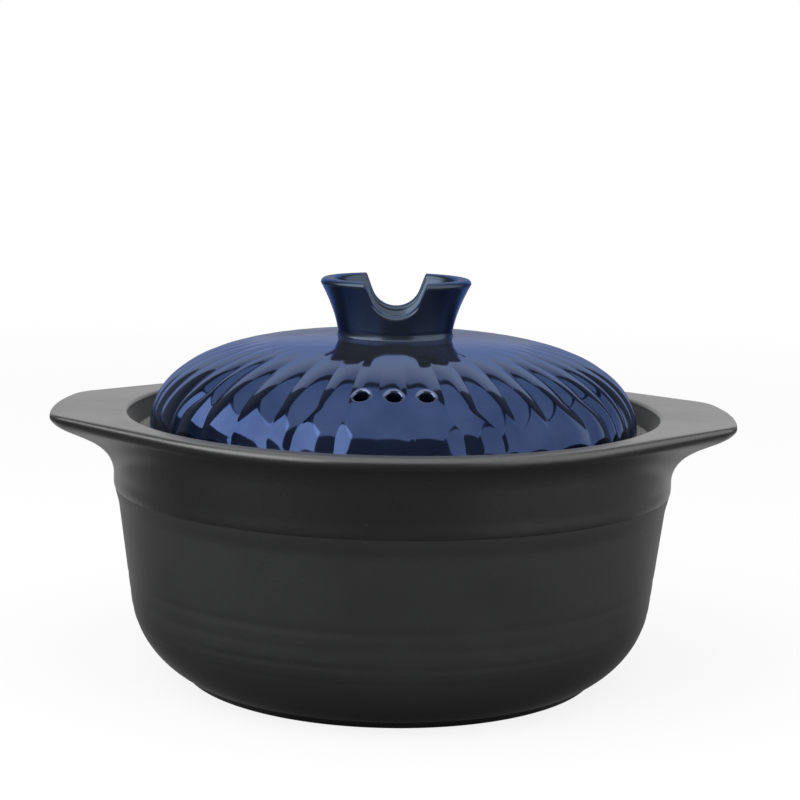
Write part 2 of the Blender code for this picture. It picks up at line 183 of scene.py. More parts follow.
# Colours, as two shades where a finish is cloudy or grainy
MATTE = (0.0068, 0.0074, 0.0078), (0.0092, 0.0098, 0.0102)
SATIN = (0.0012, 0.0015, 0.0017), (0.0020, 0.0023, 0.0025)
BARE_GRAIN = (0.05, 0.048, 0.045), (0.30, 0.29, 0.27)
SPECK = (0.05, 0.05, 0.048)
LID_BLUE = (0.039, 0.061, 0.136), (0.029, 0.047, 0.111)
LID_SLANTED = (0.28, 0.31, 0.36)
# Lighter blue painted on the steam holes' rims as their highlight
HOLE_RIM_HIGHLIGHT_BLUE = (0.13, 0.16, 0.26)
KNOB_BLUE = (0.068, 0.088, 0.122), (0.060, 0.078, 0.109)
KNOB_SLANTED = (0.14, 0.18, 0.30)
EDGE_TINT = (0.25, 0.314, 0.567, 1.0)

# Studio
ROOM_RADIUS = 2.6
ROOM_MIDDLE = 0.13
ROOM_FOOT = math.radians(-4)
ROOM_TURNS = 72
ROOM_ROWS = 30
ROOM_GREY = 0.14
BACKDROP_TOP = math.radians(58)
BACKDROP_HALF_WIDTH = math.radians(36)
FLOOR_RADIUS = 9.0
FLOOR_SIDES = 96
SURROUND_LIGHT = 0.45

# Camera
SENSOR_WIDTH = 36.0
FRAME_PIXELS = 800
FOCAL_PIXELS = 1864.3
CAMERA_PLACE = (0.0005, -0.791, 0.2344)
CAMERA_TURN = math.radians(-0.15)
CAMERA_DIP = math.radians(8.47)
CAMERA_ROLL = math.radians(1.07)


def mix(a, b, t):
    return a + (b - a) * t


def smooth(t):
    t = min(max(t, 0.0), 1.0)
    return t * t * (3 - 2 * t)


def steps(count):
    return [i / count for i in range(count + 1)]


def arc(centre, radius, start, end, count):
    return [(centre[0] + radius * math.cos(mix(start, end, t)),
             centre[1] + radius * math.sin(mix(start, end, t))) for t in steps(count)]


def bezier(p0, p1, p2, p3, count):
    points = []
    for t in steps(count):
        s = 1 - t
        points.append(tuple(s**3 * a + 3 * s * s * t * b + 3 * s * t * t * c + t**3 * d
                            for a, b, c, d in zip(p0, p1, p2, p3)))
    return points


def spin(radius, height, azimuth):
    return radius * math.cos(azimuth), radius * math.sin(azimuth), height


def line(start, end, count):
    """Points on a straight run, without its first point."""
    return [(mix(start[0], end[0], t), mix(start[1], end[1], t)) for t in steps(count)[1:]]


def cone_radius(height, at_glaze_line, lean):
    return at_glaze_line + (height - GLAZE_LINE_HEIGHT) * math.tan(lean)


def wall_radius(height):
    wall = cone_radius(height, WALL_RADIUS, WALL_LEAN)
    band = cone_radius(height, BAND_RADIUS, BAND_LEAN)
    return mix(wall, band, smooth((height - SHOULDER_BOTTOM) / SHOULDER_LENGTH))


def belly_centre():
    normal = (math.cos(WALL_LEAN), -math.sin(WALL_LEAN))
    along = (math.sin(WALL_LEAN), math.cos(WALL_LEAN))
    anchor = (WALL_RADIUS - BELLY_ROUND * normal[0], GLAZE_LINE_HEIGHT - BELLY_ROUND * normal[1])
    to_edge = (BASE_RADIUS + FOOT_FLARE - anchor[0], FOOT_HEIGHT - anchor[1])
    forward = to_edge[0] * along[0] + to_edge[1] * along[1]
    aside = to_edge[0] * normal[0] + to_edge[1] * normal[1]
    reach = forward + math.sqrt(max(BELLY_ROUND**2 - aside**2, 0.0))
    return anchor[0] + reach * along[0], anchor[1] + reach * along[1]


def handle_corner():
    """Turns from the middle of a handle at which its rounded corner starts and ends."""
    centre_radius = HANDLE_SPAN / 2 - HANDLE_CORNER_ROUND
    side_offset = RIM_RADIUS - HANDLE_CORNER_ROUND
    side_length = math.sqrt(centre_radius**2 - side_offset**2)
    return (HANDLE_SIDE_ANGLE - math.atan2(side_length, side_offset),
            HANDLE_SIDE_ANGLE - math.atan2(side_length, RIM_RADIUS))


def plan_reach(azimuth):
    """Distance from the axis to the outermost edge of the rim and the handles."""
    turn = abs((azimuth + math.pi / 2) % math.pi - math.pi / 2)
    corner_start, corner_end = handle_corner()
    if turn >= HANDLE_SIDE_ANGLE:
        return RIM_RADIUS
    if turn >= corner_end:
        return RIM_RADIUS / math.cos(HANDLE_SIDE_ANGLE - turn)
    if turn <= corner_start:
        return HANDLE_SPAN / 2
    centre_radius = HANDLE_SPAN / 2 - HANDLE_CORNER_ROUND
    across = centre_radius * math.sin(turn - corner_start)
    along = centre_radius * math.cos(turn - corner_start)
    return along + math.sqrt(HANDLE_CORNER_ROUND**2 - across**2)


def pot_azimuths():
    """Column angles, closer together over the corners of the two handles."""
    corner_start, corner_end = handle_corner()
    half = [mix(0.0, corner_start, t) for t in steps(HANDLE_END_COLUMNS)]
    half += [mix(corner_start, corner_end, t) for t in steps(HANDLE_CORNER_COLUMNS)[1:]]
    half += [mix(corner_end, HANDLE_SIDE_ANGLE, t) for t in steps(HANDLE_SIDE_COLUMNS)[1:]]
    rim = [mix(HANDLE_SIDE_ANGLE, math.pi - HANDLE_SIDE_ANGLE, t) for t in steps(RIM_COLUMNS)[1:-1]]
    turns = [-turn for turn in half[:0:-1]] + half + rim
    return [side + turn for side in (0.0, math.pi) for turn in turns]


def groove_relief(height, azimuth):
    """Depth of the potter's throwing grooves, which fade in and out round the wall."""
    depth = 0.0
    for index, (middle, width, deep) in enumerate(THROWING_GROOVES):
        place = Vector((math.cos(azimuth), math.sin(azimuth), index * 3.7))
        sway = THROWING_SWAY * noise.noise(place * 0.9)
        strength = smooth(0.65 + 0.9 * noise.noise(place * 1.1 + Vector((9.1, 2.3, 0.0))))
        depth += deep * strength * math.exp(-((height - middle - sway) / width)**2)
    return depth


def pot_outside(azimuth):
    """Section of the outside with the foot's worn edge, throwing grooves and the glaze's lip."""
    reach = plan_reach(azimuth)
    handle = (reach - RIM_RADIUS) / (HANDLE_SPAN / 2 - RIM_RADIUS)
    nose = mix(RIM_NOSE_ROUND, HANDLE_NOSE_ROUND, handle)
    turn = mix(RIM_NOSE_TURN, HANDLE_NOSE_TURN, handle)
    root_height = RIM_HEIGHT - mix(RIM_LIP_LENGTH, HANDLE_ROOT_LENGTH, handle)

    foot_edge = (BASE_RADIUS - FOOT_EDGE_ROUND, FOOT_EDGE_ROUND)
    points = arc(foot_edge, FOOT_EDGE_ROUND, -math.pi / 2, FOOT_EDGE_END, 4)
    points += line(points[-1], (BASE_RADIUS + FOOT_FLARE - 0.0002, FOOT_HEIGHT - 0.0003), 3)
    centre = belly_centre()
    start = math.atan2(FOOT_HEIGHT - centre[1], BASE_RADIUS + FOOT_FLARE - centre[0])
    points += arc(centre, BELLY_ROUND, start, -WALL_LEAN, 44)
    first = points[-1][1]
    points += [(wall_radius(h), h) for h in (mix(first, SHOULDER_BOTTOM, t) for t in steps(30)[1:])]
    for height in [mix(SHOULDER_BOTTOM, GLAZE_LINE_HEIGHT - 0.0003, t) for t in steps(8)[1:]]:
        points.append((wall_radius(height), height))
    relieved = [(r - groove_relief(h, azimuth), h) for r, h in points]
    for rise, out in ((-0.00012, 0.0), (0.00002, 0.6), (0.00020, 0.95), (0.00050, 1.0)):
        height = GLAZE_LINE_HEIGHT + rise
        relieved.append((wall_radius(height) + GLAZE_LIP * out, height))
    start = relieved[-1][1]
    for height in [mix(start, root_height, t) for t in steps(14)[1:-1]]:
        thickness = GLAZE_LIP * (1 - smooth((height - start) / GLAZE_LIP_FADE))
        relieved.append((wall_radius(height) + thickness, height))

    nose_centre = (reach - nose, RIM_HEIGHT - nose)
    root = (wall_radius(root_height), root_height)
    lip = (nose_centre[0] + nose * math.cos(turn), nose_centre[1] - nose * math.sin(turn))
    rise = UNDERSIDE_ROOT_PULL * (lip[1] - root[1])
    run = UNDERSIDE_LIP_PULL * (lip[0] - root[0])
    above_root = (root[0] + rise * math.tan(BAND_LEAN), root[1] + rise)
    before_lip = (lip[0] - run * math.sin(turn), lip[1] - run * math.cos(turn))
    relieved += bezier(root, above_root, before_lip, lip, 24)
    relieved += arc(nose_centre, nose, -turn, 0.0, 8)[1:]
    for t in steps(12)[1:]:
        angle = t * math.pi / 2
        relieved.append((nose_centre[0] + nose * max(math.cos(angle), 0.0)**(2 / TOP_EDGE_POWER),
                         nose_centre[1] + nose * math.sin(angle)**(2 / TOP_EDGE_POWER)))
    return relieved


def pot_inside(start):
    """Section of the inside, from the rim's top over the ledge down to the middle of the floor."""
    edge = (RIM_INNER_RADIUS + INNER_EDGE_ROUND, RIM_HEIGHT - INNER_EDGE_ROUND)
    points = line(start, (edge[0], RIM_HEIGHT), 6)
    points += arc(edge, INNER_EDGE_ROUND, math.pi / 2, math.pi, 8)[1:]
    points += line(points[-1], (RECESS_RADIUS + 0.0006, LEDGE_HEIGHT + 0.0014), 5)
    points.append((RECESS_RADIUS + 0.0002, LEDGE_HEIGHT + 0.0005))
    points.append((RECESS_RADIUS - 0.0005, LEDGE_HEIGHT + 0.0001))
    points += line(points[-1], (LEDGE_INNER_RADIUS + LEDGE_ROUND, LEDGE_HEIGHT), 8)
    corner = (LEDGE_INNER_RADIUS + LEDGE_ROUND, LEDGE_HEIGHT - LEDGE_ROUND)
    points += arc(corner, LEDGE_ROUND, math.pi / 2, math.pi, 6)[1:]

    inner_wall = WALL_RADIUS - WALL_THICKNESS
    under_height = LEDGE_HEIGHT - LEDGE_THICKNESS
    under = (cone_radius(under_height, inner_wall, WALL_LEAN), under_height)
    pull = (points[-1][1] - under_height) / 2
    under_handle = (under[0] + pull * math.tan(WALL_LEAN), under[1] + pull)
    points += bezier(points[-1], (points[-1][0], points[-1][1] - pull), under_handle, under, 14)[1:]

    centre_height = FLOOR_THICKNESS + INNER_BELLY_ROUND
    inner_radius = cone_radius(centre_height, inner_wall, WALL_LEAN)
    centre_radius = inner_radius - INNER_BELLY_ROUND / math.cos(WALL_LEAN)
    turned = arc((centre_radius, centre_height), INNER_BELLY_ROUND, -WALL_LEAN, -math.pi / 2, 18)
    points += line(points[-1], turned[0], 12) + turned[1:]
    points += line(points[-1], (0.004, FLOOR_THICKNESS), 16)
    return points


def pot_section(azimuth):
    """Whole section of the pot, from the recess under its base round to the middle of its floor."""
    foot_inner = BASE_RADIUS - FOOT_RING_WIDTH
    underside = [(foot_inner * t, FOOT_RECESS_DEPTH) for t in (0.1, 0.3, 0.5, 0.7, 0.9)]
    underside.append((foot_inner - 0.0016, FOOT_RECESS_DEPTH))
    underside.append((foot_inner - 0.0010, FOOT_RECESS_DEPTH - 0.0002))
    underside += [(foot_inner - 0.0003, 0.0003), (foot_inner + 0.0004, 0.0)]
    underside += [(mix(foot_inner, BASE_RADIUS, t), 0.0) for t in (0.3, 0.6)]
    outside = pot_outside(azimuth)
    return underside + outside + pot_inside(outside[-1])


def dome_point(angle, radius, rise, base_height):
    out = radius * max(math.cos(angle), 0.0)**(2 / DOME_RADIAL_POWER)
    return out, base_height + rise * math.sin(angle)**(2 / DOME_HEIGHT_POWER)


def dome_height(radius):
    spread = 1 - (min(radius, LID_RADIUS) / LID_RADIUS)**DOME_RADIAL_POWER
    return LID_SKIRT_HEIGHT + DOME_RISE * spread**(1 / DOME_HEIGHT_POWER)


def dome_normal(radius):
    step = 0.00002
    inner = max(radius - step, 0.0)
    outer = min(radius + step, LID_RADIUS)
    slope = (dome_height(outer) - dome_height(inner)) / (outer - inner)
    length = math.hypot(1.0, slope)
    return -slope / length, 1.0 / length


def flute_fade(radius, height):
    grow = smooth((radius - FLUTE_START_RADIUS) / (FLUTE_FULL_RADIUS - FLUTE_START_RADIUS))
    return grow * smooth((height - LID_SKIRT_HEIGHT) / GROOVE_END_LENGTH)


def hole_axes():
    """A point on the dome and the direction of each steam hole, from the lid's seat up."""
    out, up = dome_normal(STEAM_HOLE_RING_RADIUS)
    axes = []
    for index in range(STEAM_HOLE_COUNT):
        azimuth = FRONT + (index - (STEAM_HOLE_COUNT - 1) / 2) * 2 * math.pi / FLUTE_COUNT
        middle = Vector(spin(STEAM_HOLE_RING_RADIUS, dome_height(STEAM_HOLE_RING_RADIUS), azimuth))
        axes.append((middle, Vector(spin(out, up, azimuth))))
    return axes


def hole_rim_drop(point, axes):
    """How far the surface dips into the rounded rim of the nearest steam hole."""
    drop = 0.0
    for middle, direction in axes:
        away = point - middle
        off = (away - direction * away.dot(direction)).length - STEAM_HOLE_DIAMETER / 2
        if off < HOLE_RIM_ROUND:
            inside = min(HOLE_RIM_ROUND - off, HOLE_RIM_ROUND)
            drop = max(drop, HOLE_RIM_ROUND - math.sqrt(HOLE_RIM_ROUND**2 - inside**2))
    return drop


def dome_angles():
    """Angles of the dome's rows, closer together where the steam holes are."""
    over_holes = []
    for t in steps(HOLE_ROWS):
        radius = STEAM_HOLE_RING_RADIUS + mix(HOLE_ROWS_REACH, -HOLE_ROWS_REACH, t)
        over_holes.append(math.degrees(math.acos((radius / LID_RADIUS)**(DOME_RADIAL_POWER / 2))))
    start = over_holes[0] - HOLE_ROWS_MARGIN
    end = over_holes[-1] + HOLE_ROWS_MARGIN
    elsewhere = [90 * t for t in steps(DOME_ROWS) if not start <= 90 * t <= end]
    return [math.radians(a) for a in sorted(elsewhere + over_holes)][1:-1]


def carved_groove(index):
    """Azimuth, strength, bend at the foot and share left there of a groove that was carved by hand."""
    # A place on a ring in the noise, so that the last groove is next to the first one
    place = Vector(spin(3.1, 0.4, 2 * math.pi * (index + FLUTE_COUNT // 2) / FLUTE_COUNT))
    moved = GROOVE_SHIFTS.get(index, OTHER_GROOVE_SHIFT * noise.noise(place))
    uneven = OTHER_GROOVE_UNEVENNESS * noise.noise(place + Vector((0, 0, 5.0)))
    strength = min(GROOVE_STRENGTHS.get(index, 1 + uneven), 1.0)
    bend = math.radians(GROOVE_SPLAYS.get(index, 0.0))
    azimuth = FRONT + (index + 0.5) * 2 * math.pi / FLUTE_COUNT + math.radians(moved)
    return azimuth, strength, bend, GROOVE_FEET.get(index, OTHER_GROOVE_FOOT)


def lid_columns():
    """Columns as (azimuth, share of the groove's depth, bend, share of that left at the foot)."""
    columns = []
    half = FLUTE_COUNT // 2
    for flute in range(-half, half):
        start, before, bend_before, foot_before = carved_groove(flute - 1 if flute > -half else half - 1)
        end, after, bend_after, foot_after = carved_groove(flute)
        if end < start:
            start -= 2 * math.pi
        drilled = abs(flute) <= (STEAM_HOLE_COUNT - 1) / 2
        count = HOLE_COLUMNS_PER_FLUTE if drilled else COLUMNS_PER_FLUTE
        even = HOLE_COLUMN_EVENNESS if drilled else 0.0
        for t in steps(count)[:-1]:
            place = mix((1 - math.cos(math.pi * t)) / 2, t, even)
            lobe = math.sin(math.pi * place)
            softened = math.sqrt(lobe**2 + GROOVE_SHARPNESS**2) - GROOVE_SHARPNESS
            share = 1 - softened / (math.sqrt(1 + GROOVE_SHARPNESS**2) - GROOVE_SHARPNESS)
            strength, foot = (before, foot_before) if place < 0.5 else (after, foot_after)
            bend = mix(bend_before, bend_after, place)
            columns.append((mix(start, end, place), share * strength, bend, foot))
    return columns


def link_rings(rings, first_pole, last_pole):
    """Vertices and faces of a closed mesh through rings of points, with a pole at each end."""
    count = len(rings[0])
    vertices = [first_pole] + [point for ring in rings for point in ring] + [last_pole]
    last = len(vertices) - 1
    faces = []
    for column in range(count):
        beside = (column + 1) % count
        faces.append((0, 1 + beside, 1 + column))
        for ring in range(len(rings) - 1):
            low = 1 + ring * count
            faces.append((low + column, low + beside, low + count + beside, low + count + column))
        low = last - count
        faces.append((low + column, low + beside, last))
    return vertices, faces


def add_object(name, data):
    item = bpy.data.objects.new(name, data)
    bpy.context.scene.collection.objects.link(item)
    return item


def add_piece(name, vertices, faces, material, body, node):
    """Add a closed smooth mesh that stands for a CAD node and moves with its body."""
    mesh = bpy.data.meshes.new(name)
    mesh.from_pydata(vertices, [], faces)
    solid = bmesh.new()
    solid.from_mesh(mesh)
    bmesh.ops.recalc_face_normals(solid, faces=solid.faces)
    solid.to_mesh(mesh)
    solid.free()
    mesh.materials.append(material)
    mesh.shade_smooth()
    piece = add_object(name, mesh)
    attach(piece, body)
    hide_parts(node)
    return piece


def make_pot(material):
    azimuths = pot_azimuths()
    sections = [pot_section(azimuth) for azimuth in azimuths]
    rings = [[spin(*section[level], azimuth) for azimuth, section in zip(azimuths, sections)]
             for level in range(len(sections[0]))]
    vertices, faces = link_rings(rings, (0, 0, FOOT_RECESS_DEPTH), (0, 0, FLOOR_THICKNESS))
    add_piece("pot_ceramic", vertices, faces, material, "pot", "pot_body")


def make_lid(material):
    """The fluted dome with its steam holes, whose rims the glaze has rounded."""
    columns = lid_columns()
    inner_radius = LID_RADIUS - LID_THICKNESS
    inner_rise = LID_HOLLOW_TOP - SEAT_GAP
    inner = [dome_point(math.radians(a), inner_radius, inner_rise, SEAT_GAP) for a in INNER_DOME_ANGLES]
    inner += [(inner_radius + 0.0001, SEAT_GAP + 0.0006), (inner_radius + 0.0006, SEAT_GAP + 0.0001)]
    edge = (LID_RADIUS - LID_EDGE_ROUND, SEAT_GAP + LID_EDGE_ROUND)
    inner += arc(edge, LID_EDGE_ROUND, -math.pi / 2, 0.0, 8)
    rings = [[spin(radius, height, column[0]) for column in columns] for radius, height in inner]

    axes = hole_axes()
    for angle in dome_angles():
        radius, height = dome_point(angle, LID_RADIUS, DOME_RISE, LID_SKIRT_HEIGHT)
        normal = dome_normal(radius)
        fade = flute_fade(radius, height)
        low = smooth((radius - GROOVE_FOOT_START) / (LID_RADIUS - GROOVE_FOOT_START))
        by_holes = abs(radius - STEAM_HOLE_RING_RADIUS) < HOLE_ZONE_REACH
        ring = []
        for straight, share, bend, foot in columns:
            azimuth = straight + bend * low
            depth = FLUTE_DEPTH * share * fade * mix(1.0, foot, low)
            point = Vector(spin(radius - depth * normal[0], height - depth * normal[1], azimuth))
            if by_holes and abs(azimuth - FRONT) < HOLE_ZONE_TURN:
                point -= Vector(spin(*normal, azimuth)) * hole_rim_drop(point, axes)
            ring.append(tuple(point))
        rings.append(ring)
    vertices, faces = link_rings(rings, (0, 0, LID_HOLLOW_TOP), (0, 0, LID_TOP))
    vertices = [(x, y, z + LEDGE_HEIGHT) for x, y, z in vertices]
    lid = add_piece("lid_fluted", vertices, faces, material, "lid", "lid")
    drill(lid, axes)


def drill(lid, axes):
    """Cut the steam holes and keep the cut mesh."""
    cutter = bmesh.new()
    for middle, direction in axes:
        place = direction.to_track_quat("Z", "Y").to_matrix().to_4x4()
        place.translation = middle + Vector((0, 0, LEDGE_HEIGHT))
        radius = STEAM_HOLE_DIAMETER / 2
        bmesh.ops.create_cone(cutter, cap_ends=True, segments=HOLE_SIDES, depth=3 * LID_THICKNESS,
                              radius1=radius, radius2=radius, matrix=place)
    mesh = bpy.data.meshes.new("cutter")
    cutter.to_mesh(mesh)
    cutter.free()
    guide = add_object("cutter", mesh)
    cut = lid.modifiers.new("steam_holes", "BOOLEAN")
    cut.operation = "DIFFERENCE"
    cut.solver = "EXACT"
    cut.object = guide
    shown = lid.evaluated_get(bpy.context.evaluated_depsgraph_get())
    lid.modifiers.clear()
    drilled = bpy.data.meshes.new_from_object(shown)
    lid.data = drilled
    bpy.data.objects.remove(guide)
    drilled.shade_smooth()
    drilled.set_sharp_from_angle(angle=CREASE_ANGLE)


def soft_min(a, b, round_length):
    """The lower of two heights, with a rounded corner where they cross."""
    h = max(round_length - abs(a - b), 0.0) / round_length
    return min(a, b) - h * h * round_length / 4


def notch_height(offset):
    offset = abs(offset)
    bottom = KNOB_HEIGHT - NOTCH_DEPTH
    turn = NOTCH_ROUND * math.cos(NOTCH_FLARE)
    if offset <= turn:
        height = bottom + NOTCH_ROUND - math.sqrt(NOTCH_ROUND**2 - offset**2)
    else:
        start = bottom + NOTCH_ROUND * (1 - math.sin(NOTCH_FLARE))
        height = start + (offset - turn) / math.tan(NOTCH_FLARE)
    return soft_min(height, KNOB_HEIGHT, NOTCH_CORNER_ROUND)


def notch_half_width():
    turn = NOTCH_ROUND * math.cos(NOTCH_FLARE)
    climb = NOTCH_DEPTH - NOTCH_ROUND * (1 - math.sin(NOTCH_FLARE))
    return turn + (climb + NOTCH_CORNER_ROUND) * math.tan(NOTCH_FLARE)


def knob_outer_radius(height):
    flare = min(max(height / KNOB_HEIGHT, 0.0), 1.0)**KNOB_FLARE_POWER
    return mix(KNOB_FOOT_RADIUS, KNOB_RIM_RADIUS, flare)


def knob_columns():
    """Columns as (half turn, offset from the notch's middle, share of the way round to the next notch)."""
    half = notch_half_width()
    columns = []
    for half_turn in (0.0, math.pi):
        for t in steps(NOTCH_COLUMNS):
            columns.append((half_turn, half * math.sin(mix(-1, 1, t) * math.pi / 2), 0.0))
        columns += [(half_turn, half, t) for t in steps(KNOB_SIDE_COLUMNS)[1:-1]]
    return columns


def knob_column_angle(column, radius):
    half_turn, offset, share = column
    edge = math.asin(offset / max(radius, KNOB_FOOT_RADIUS - KNOB_THICKNESS - KNOB_EDGE_ROUND))
    return half_turn + mix(edge, math.pi - edge, share)


def knob_fillet():
    """Glaze pooled in the corner between the knob's foot and the dome, as (radius, height)."""
    points = []
    for t in steps(10):
        angle = mix(0.08, math.pi / 2, t)
        out = KNOB_FILLET_REACH * (1 - math.sin(angle))
        up = KNOB_FILLET_HEIGHT * (1 - math.cos(angle))
        radius = KNOB_FOOT_RADIUS + out
        floor = dome_height(radius) - LID_TOP
        points.append((radius, max(floor, floor * (1 - t)) + up))
    return points


def knob_section(column):
    """Section from the knob's foot over its rim, or the notch's edge, to the middle of its hollow."""
    top = notch_height(column[1]) if column[2] == 0 else KNOB_HEIGHT
    points = knob_fillet()
    start = points[-1][1]
    for t in steps(24)[1:]:
        height = mix(start, top - KNOB_EDGE_ROUND, t)
        points.append((knob_outer_radius(height), height))
    outer = knob_outer_radius(top - KNOB_EDGE_ROUND)
    inner = outer - KNOB_THICKNESS
    edge = (outer - KNOB_EDGE_ROUND, top - KNOB_EDGE_ROUND)
    points += arc(edge, KNOB_EDGE_ROUND, 0.0, math.pi / 2, 8)[1:]
    points += line(points[-1], (inner + KNOB_EDGE_ROUND, top), 3)
    edge = (inner + KNOB_EDGE_ROUND, top - KNOB_EDGE_ROUND)
    points += arc(edge, KNOB_EDGE_ROUND, math.pi / 2, math.pi, 8)[1:]
    floor = SEAT_GAP + KNOB_FLOOR_THICKNESS
    lower = knob_outer_radius(floor) - KNOB_THICKNESS
    points += line(points[-1], (lower, floor + KNOB_EDGE_ROUND), 12)
    corner = (lower - KNOB_EDGE_ROUND, floor + KNOB_EDGE_ROUND)
    points += arc(corner, KNOB_EDGE_ROUND, 0.0, -math.pi / 2, 6)[1:]
    points += line(points[-1], (0.002, floor), 5)
    return points


def make_knob(material):
    columns = knob_columns()
    sections = [knob_section(column) for column in columns]
    base = LEDGE_HEIGHT + LID_TOP
    rings = []
    for level in range(len(sections[0])):
        ring = []
        for column, section in zip(columns, sections):
            radius, height = section[level]
            ring.append(spin(radius, height + base, FRONT + knob_column_angle(column, radius)))
        rings.append(ring)
    floor = base + SEAT_GAP + KNOB_FLOOR_THICKNESS
    vertices, faces = link_rings(rings, (0, 0, base + SEAT_GAP), (0, 0, floor))
    add_piece("lid_knob_glazed", vertices, faces, material, "lid", "lid_knob")


class Nodes:
    """A node tree with short calls for the nodes that the finishes and the studio use."""

    def __init__(self, owner):
        owner.use_nodes = True
        self.tree = owner.node_tree

    def add(self, kind, **settings):
        node = self.tree.nodes.new(kind)
        for name, value in settings.items():
            setattr(node, name, value)
        return node

    def plug(self, socket, value):
        """Link a socket to another one, or give it a constant."""
        if hasattr(value, "is_linked"):
            self.tree.links.new(value, socket)
        else:
            socket.default_value = value

    def remap(self, value, low, high, to_low, to_high):
        node = self.add("ShaderNodeMapRange", interpolation_type="SMOOTHSTEP")
        names = ("Value", "From Min", "From Max", "To Min", "To Max")
        for name, item in zip(names, (value, low, high, to_low, to_high)):
            self.plug(node.inputs[name], item)
        return node.outputs["Result"]

    def combine(self, operation, first, *others):
        """The first value combined with each of the others in turn."""
        for other in others:
            node = self.add("ShaderNodeMath", operation=operation)
            self.plug(node.inputs[0], first)
            self.plug(node.inputs[1], other)
            first = node.outputs["Value"]
        return first

    def product(self, *values):
        return self.combine("MULTIPLY", *values)

    def vectors(self, operation, first, second):
        node = self.add("ShaderNodeVectorMath", operation=operation)
        self.plug(node.inputs[0], first)
        self.plug(node.inputs[1], second)
        return node.outputs["Vector"]

    def length(self, vector):
        node = self.add("ShaderNodeVectorMath", operation="LENGTH")
        self.plug(node.inputs[0], vector)
        return node.outputs["Value"]


class Finish(Nodes):
    """A material with one Principled shader, textured in the model's own coordinates."""

    def __init__(self, name):
        self.material = bpy.data.materials.new(name)
        super().__init__(self.material)
        self.shader = self.tree.nodes["Principled BSDF"]
        self.surface = self.tree.nodes["Material Output"].inputs["Surface"]
        self.place = self.add("ShaderNodeTexCoord").outputs["Object"]
        split = self.add("ShaderNodeSeparateXYZ")
        self.plug(split.inputs["Vector"], self.place)
        self.x, self.y, self.height = (split.outputs[axis] for axis in "XYZ")

    def noise(self, scale, detail, roughness=0.5):
        texture = self.add("ShaderNodeTexNoise")
        self.plug(texture.inputs["Vector"], self.place)
        for name, value in (("Scale", scale), ("Detail", detail), ("Roughness", roughness)):
            self.plug(texture.inputs[name], value)
        return texture.outputs["Fac"]

    def blend(self, share, first, second):
        node = self.add("ShaderNodeMix", data_type="RGBA")
        self.plug(node.inputs["Factor"], share)
        for name, colour in (("A", first), ("B", second)):
            self.plug(node.inputs[name], colour if hasattr(colour, "is_linked") else (*colour, 1.0))
        return node.outputs["Result"]

    def bump(self, height, strength, distance):
        node = self.add("ShaderNodeBump")
        for name, value in (("Height", height), ("Strength", strength), ("Distance", distance)):
            self.plug(node.inputs[name], value)
        self.plug(self.shader.inputs["Normal"], node.outputs["Normal"])

    def set(self, **values):
        for name, value in values.items():
            self.plug(self.shader.inputs[name.replace("_", " ")], value)


def dark_ceramic():
    """Satin glaze above the glaze line and inside, matte black below it, and bare in the lid's recess."""
    m = Finish("dark_ceramic")
    away = m.length(m.vectors("MULTIPLY", m.place, (1, 1, 0)))
    within = m.remap(away, RIM_INNER_RADIUS + 0.0002, RIM_INNER_RADIUS + 0.0008, 1.0, 0.0)
    above = m.remap(m.height, LEDGE_HEIGHT - 0.0020, LEDGE_HEIGHT - 0.0008, 0.0, 1.0)
    below = m.remap(m.height, RIM_HEIGHT - 0.0018, RIM_HEIGHT - 0.0010, 1.0, 0.0)
    bare = m.product(within, above, below)
    seat = m.product(bare, m.remap(m.height, LEDGE_HEIGHT + 0.0003, LEDGE_HEIGHT + 0.0009, 1.0, 0.0))
    glazed = m.remap(m.height, GLAZE_LINE_HEIGHT - 0.00015, GLAZE_LINE_HEIGHT + 0.00015, 0.0, 1.0)
    glazed = m.product(glazed, m.remap(bare, 0.0, 1.0, 1.0, 0.0))

    cloud = m.noise(22.0, 4.0)
    speck = m.noise(900.0, 2.0, 0.6)
    patches = m.remap(cloud, 0.35, 0.65, 0.0, 1.0)
    colour = m.blend(glazed, m.blend(patches, *MATTE), m.blend(patches, *SATIN))
    colour = m.blend(m.remap(speck, 0.66, 0.76, 0.0, 0.5), colour, SPECK)
    grain = m.remap(m.noise(1400.0, 2.0, 0.7), 0.40, 0.62, 0.0, 1.0)
    m.set(Base_Color=m.blend(seat, colour, m.blend(grain, *BARE_GRAIN)))

    rough = m.remap(glazed, 0.0, 1.0, 0.54, 0.36)
    rougher = m.remap(bare, 0.0, 1.0, 0.0, 0.40)
    m.set(Roughness=m.combine("ADD", rough, rougher, m.remap(cloud, 0.3, 0.7, -0.02, 0.03)))
    m.set(IOR=1.6, Specular_IOR_Level=1.0, Sheen_Weight=0.18, Sheen_Roughness=0.26)
    m.bump(m.combine("ADD", m.noise(160.0, 3.0), m.product(speck, 0.25)), 0.25, 0.0004)
    return m.material


def painted_hole_highlight(m):
    """Painted highlight: 1 on the rounded rims of the steam holes and 0 away from them, fainter on the
    rims' lower side.
    """
    nearest = 1.0
    for middle, direction in hole_axes():
        away = m.vectors("SUBTRACT", m.place, middle + Vector((0, 0, LEDGE_HEIGHT)))
        nearest = m.combine("MINIMUM", m.length(m.vectors("CROSS_PRODUCT", away, direction)), nearest)
    hole = STEAM_HOLE_DIAMETER / 2
    begins = m.remap(nearest, hole - 0.0001, hole + 0.0003, 0.0, 1.0)
    ends = m.remap(nearest, hole + 0.0007, hole + 0.0019, 1.0, 0.0)
    middle = LEDGE_HEIGHT + dome_height(STEAM_HOLE_RING_RADIUS)
    # The painted highlight is stronger on the upper side of each rim, higher on the dome.
    return m.product(begins, ends, m.remap(m.height, middle - 0.0016, middle + 0.0004, 0.25, 1.0))


